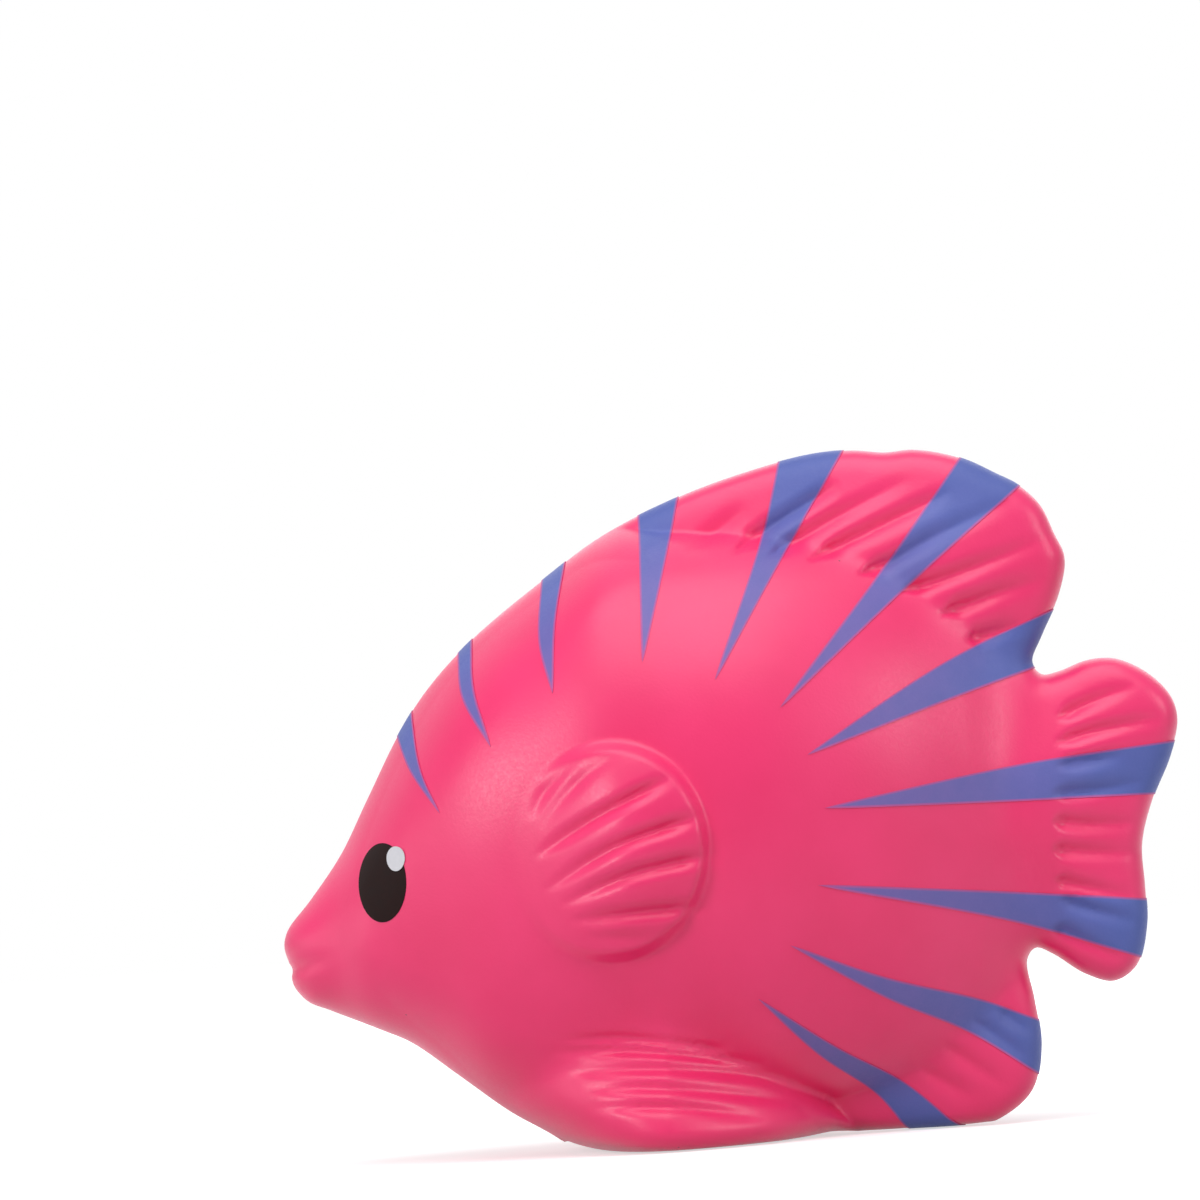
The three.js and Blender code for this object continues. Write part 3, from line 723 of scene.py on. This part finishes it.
def paintedPatch(name, cuts, spotsAt, side, lift, lap=0):
    # spotsAt gives the side view's places for shares along and across the patch
    # the patch's start, its first row, may lap over the ridge
    bpy.ops.object.select_all(action="DESELECT")
    bpy.ops.mesh.primitive_grid_add(x_subdivisions=cuts[0], y_subdivisions=cuts[1], size=1)
    patch = bpy.context.object
    patch.name = name
    shares = pointsOf(patch)[:, :2] * mm + 0.5
    spots = spotsAt(shares[:, 0], shares[:, 1])
    sides = [np.hypot(*(spots - spotsAt(shares[:, 0], np.full(len(spots), edge))).T) for edge in (0, 1)]
    patch.data.attributes.new("edgeGap", "FLOAT", "POINT").data.foreach_set("value", np.minimum(*sides))
    square = sampleFields(spots[:, 0], spots[:, 1])[0]
    points = np.stack([spots[:, 0], side * np.sqrt(np.maximum(square, 0)), spots[:, 1]], axis=1)
    points = ontoSkin(points, paintFilm["turns"])
    points[:, 1] = side * np.maximum(0, side * points[:, 1])
    if lap:
        firstRow = shares[:, 0] < 0.5 / cuts[0]
        points[firstRow, 1] = -side * lap
    setPoints(patch, points)
    facing = sum(f.normal[1] * f.area for f in patch.data.polygons) * side
    flip = [(bpy.ops.mesh.flip_normals, {})] if facing < 0 else []
    editAll(patch, (bpy.ops.mesh.remove_doubles, {"threshold": paintFilm["weld"] * mm}), *flip)
    applyModifier(patch, "SHRINKWRAP", target=skin, wrap_mode="ABOVE_SURFACE", offset=lift * mm)
    applyModifier(patch, "SOLIDIFY", thickness=paintFilm["thickness"] * mm, offset=-1)
    pickOnly(patch)
    bpy.ops.object.shade_smooth_by_angle(angle=math.radians(paintFilm["sharpAngle"]))
    return patch


# Each stripe has two edges that bow from the outline to one tip
stripes = [
    {"front": [(14.1, 62.6), (15.6, 57.3)], "back": [(15.6, 65.6), (16.8, 56.7)], "tip": (18.7, 50.7)},
    {"front": [(21.6, 74.4), (21.9, 67.4)], "back": [(23.1, 76), (23.1, 68.4)], "tip": (24.7, 59.8)},
    {"front": [(31.3, 84.1), (30.7, 74.6)], "back": [(33.8, 86.4), (32.4, 76.9)], "tip": (31.8, 66.9)},
    {"front": [(42.5, 92.7), (42.1, 82.7)], "back": [(46.7, 94.8), (44.4, 83.3)], "tip": (41.7, 70.5)},
    {"front": [(58.1, 99), (55.6, 87.7)], "back": [(65.2, 100), (58.1, 85.7)], "tip": (49.4, 67.2)},
    {"front": [(78.1, 97.8), (69, 82.6)], "back": [(84.4, 93), (71.9, 80.2)], "tip": (56.2, 62.6)},
    {"front": [(87, 74.6), (74.6, 67.7)], "back": [(84.4, 66.3), (75.6, 62.8)], "tip": (58.8, 55.6)},
    {"front": [(99.4, 54.3), (81.9, 52.1)], "back": [(96.8, 46.5), (81.9, 47)], "tip": (60.3, 47.8)},
    {"front": [(95.2, 31.4), (80.6, 33.6)], "back": [(94.2, 23.3), (80.8, 29.4)], "tip": (59, 36.8)},
    {"front": [(82.4, 14.8), (76.2, 18.3), (65.6, 22.7)], "back": [(82.3, 7), (74.4, 14.1), (65.8, 19.8)],
     "tip": (55.6, 28.4)},
    {"front": [(73.4, 0), (67.1, 7.3), (60, 13)], "back": [(67.8, 0), (64.3, 5.8), (58, 12.3)],
     "tip": (51.8, 21)},
]
# Rows crowd towards the outline, and the bend of the outline fades towards the tip, by these powers
# leastWidth keeps the tip from dividing by nothing
stripeMake = {"cuts": (110, 20), "crowding": 2, "rimFade": 3, "leastWidth": 0.2}


def alongCurve(curve, shares):
    steps = np.linalg.norm(np.diff(curve, axis=0), axis=1)
    run = np.concatenate([[0], np.cumsum(steps)]) / steps.sum()
    return np.stack([np.interp(shares, run, curve[:, i]) for i in range(2)], axis=1)


def outlineBetween(start, end):
    # the shorter stretch of the outline between two places near it
    ring = outline[:-1]
    first, last = (np.argmin(np.hypot(*(ring - spot).T)) for spot in (start, end))
    ahead = (last - first) % len(ring)
    if ahead <= len(ring) / 2:
        return ring[(first + np.arange(ahead + 1)) % len(ring)]
    return ring[(first - np.arange(len(ring) - ahead + 1)) % len(ring)]


def stripeSpots(stripe):
    front, back = (
        smoothCurve(place(stripe[edge] + [stripe["tip"]]), False, curveSteps["stripe"])
        for edge in ("front", "back")
    )
    rim = outlineBetween(front[0], back[0])

    def spotsAt(along, across):
        along = along ** stripeMake["crowding"]
        frontSpots, backSpots = alongCurve(front, along), alongCurve(back, along)
        width = backSpots - frontSpots
        apart = np.hypot(*width.T) + stripeMake["leastWidth"]
        spread = stripeLook["softEdge"] / 2 * (2 * across - 1) / apart
        spots = frontSpots + (across + spread)[:, None] * width
        chord = front[0] + across[:, None] * (back[0] - front[0])
        return spots + (1 - along[:, None]) ** stripeMake["rimFade"] * (alongCurve(rim, across) - chord)

    return spotsAt


stripePaint = stripeMaterial()
for number, stripe in enumerate(stripes, 1):
    for sideName, side in (("left", -1), ("right", 1)):
        patch = paintedPatch(f"{sideName}_stripe_paint_{number}", stripeMake["cuts"], stripeSpots(stripe),
                             side, paintFilm["stripeLift"][sideName], paintFilm["lap"])
        dress(patch, stripePaint, "stripe_paint", f"{sideName}_stripe_{number}")
print("stripes:", 2 * len(stripes))

# Eyes, and the pale glint over each
eye = {"centre": (11.8, 41.2), "width": 5.8, "height": 9.3, "tilt": -3.8, "cuts": (20, 56)}
glint = {"offset": (0.32, 0.29), "width": 2.2, "height": 2.9, "egg": 0.05, "cuts": (10, 36)}


def ovalSpots(centre, width, height, tilt, egg):
    turn = math.radians(tilt)

    def spotsAt(outward, around):
        angle = 2 * math.pi * around
        x = outward * width / 2 * np.cos(angle) * (1 + egg * np.sin(angle))
        z = outward * height / 2 * np.sin(angle)
        return centre + np.stack([x * math.cos(turn) - z * math.sin(turn),
                                  x * math.sin(turn) + z * math.cos(turn)], axis=1)

    return spotsAt


eyeCentre = place(eye["centre"])
glintCentre = eyeCentre + np.multiply(glint["offset"], (eye["width"], eye["height"]))
eyePaint, glintPaint = eyeMaterial(), glintMaterial()
for sideName, side in (("left", -1), ("right", 1)):
    spots = ovalSpots(eyeCentre, eye["width"], eye["height"], eye["tilt"], 0)
    patch = paintedPatch(f"{sideName}_eye_paint", eye["cuts"], spots, side, paintFilm["eyeLift"])
    dress(patch, eyePaint, "eye_paint", f"{sideName}_eye")
    spots = ovalSpots(glintCentre, glint["width"], glint["height"], eye["tilt"], glint["egg"])
    patch = paintedPatch(f"{sideName}_glint_paint", glint["cuts"], spots, side, paintFilm["glintLift"])
    dress(patch, glintPaint, "glint_paint", f"{sideName}_eye_glint")
print("eyes and glints: 4")

# Plain studio: a white floor that keeps the shadow, a white surround and soft lamps
studio = {
    "floorSize": 3,
    "floorDrop": 0.0002,  # keeps the floor clear of the paint under the base
    "floorColour": (205, 205, 205),
    "floorRoughness": 0.9,
    "shadowReach": (0.03, 0.1),  # the floor turns to plain white between these distances
    "floorGlow": 0.6,
    "surroundFill": 0.08,
    "aim": (0, 0, 0.04),
    "lamps": [
        {"name": "top_lamp", "power": 3.3, "size": 0.6, "spot": (0.03, -0.24, 0.6)},
        {"name": "left_lamp", "power": 1.9, "size": 0.2, "spot": (-0.52, -0.55, 0.3)},
        {"name": "right_lamp", "power": 1.1, "size": 0.25, "spot": (0.62, -0.3, 0.3)},
        {"name": "back_lamp", "power": 1.3, "size": 0.6, "spot": (0.1, 0.6, 0.35)},
        {"name": "low_lamp", "power": 1, "size": 0.45, "spot": (-0.65, -0.12, 0.03)},
    ],
}


def whiteFloor():
    bpy.ops.object.select_all(action="DESELECT")
    bpy.ops.mesh.primitive_plane_add(size=studio["floorSize"], location=(0, 0, -studio["floorDrop"]))
    floor = bpy.context.object
    floor.name = "floor"
    material, shader = newMaterial("whiteFloor")
    shader.inputs["Base Color"].default_value = fromScreen(*studio["floorColour"])
    shader.inputs["Roughness"].default_value = studio["floorRoughness"]
    shader.inputs["Specular IOR Level"].default_value = 0
    inputs = {0: objectSpot(material)}
    away = addNode(material, "ShaderNodeVectorMath", inputs, operation="LENGTH").outputs["Value"]
    glow = mapRange(material, away, studio["shadowReach"], (studio["floorGlow"], 1))
    path = addNode(material, "ShaderNodeLightPath").outputs
    inputs = {0: path["Is Camera Ray"], 1: path["Is Glossy Ray"]}
    seen = addNode(material, "ShaderNodeMath", inputs, operation="MAXIMUM").outputs[0]
    glow = addNode(material, "ShaderNodeMath", {0: seen, 1: glow}, operation="MULTIPLY")
    shader.inputs["Emission Color"].default_value = (1, 1, 1, 1)
    link(material, glow.outputs[0], shader.inputs["Emission Strength"])
    floor.data.materials.append(material)


def whiteSurround():
    world = bpy.data.worlds.new("studio")
    world.use_nodes = True
    bpy.context.scene.world = world
    background = world.node_tree.nodes["Background"]
    background.inputs["Color"].default_value = (1, 1, 1, 1)
    path = addNode(world, "ShaderNodeLightPath").outputs
    strength = studio["surroundFill"]
    for ray in ("Is Camera Ray", "Is Glossy Ray", "Is Transmission Ray"):
        inputs = {0: path[ray], 1: strength}
        strength = addNode(world, "ShaderNodeMath", inputs, operation="MAXIMUM").outputs[0]
    link(world, strength, background.inputs["Strength"])



def softLamp(name, power, size, spot):
    bpy.ops.object.select_all(action="DESELECT")
    bpy.ops.object.light_add(type="AREA", location=spot)
    lamp = bpy.context.object
    lamp.name = name
    lamp.data.energy = power
    lamp.data.size = size
    aim = Vector(studio["aim"]) - Vector(spot)
    lamp.rotation_euler = aim.to_track_quat("-Z", "Y").to_euler()


whiteFloor()
whiteSurround()
for lamp in studio["lamps"]:
    softLamp(**lamp)

# Camera straight from the side, rolled a little, with the fish low on the right of the picture
view = {
    "distance": 1000,
    "frameWidth": 143.1,
    "level": (0.23, 40.57),  # where the camera stands along the fish and above its base
    "aim": (-13.7, 65.2),  # what is at the middle of the picture
    "roll": 3.8,
    "sensor": 36,
}



def addCamera():
    camera = bpy.data.objects.new("camera", bpy.data.cameras.new("camera"))
    bpy.context.scene.collection.objects.link(camera)
    camera.data.sensor_width = view["sensor"]
    camera.data.lens = camera.data.sensor_width * view["distance"] / view["frameWidth"]
    spot = Vector((view["level"][0], -view["distance"], view["level"][1])) * mm
    look = (Vector((view["aim"][0], 0, view["aim"][1])) * mm - spot).normalized()
    roll = math.radians(view["roll"])
    right = look.cross(Vector((math.sin(roll), 0, math.cos(roll)))).normalized()
    turn = Matrix((right, right.cross(look), -look)).transposed()
    camera.matrix_world = Matrix.Translation(spot) @ turn.to_4x4()
    bpy.context.scene.camera = camera


addCamera()
bpy.context.scene.view_settings.view_transform = "Standard"
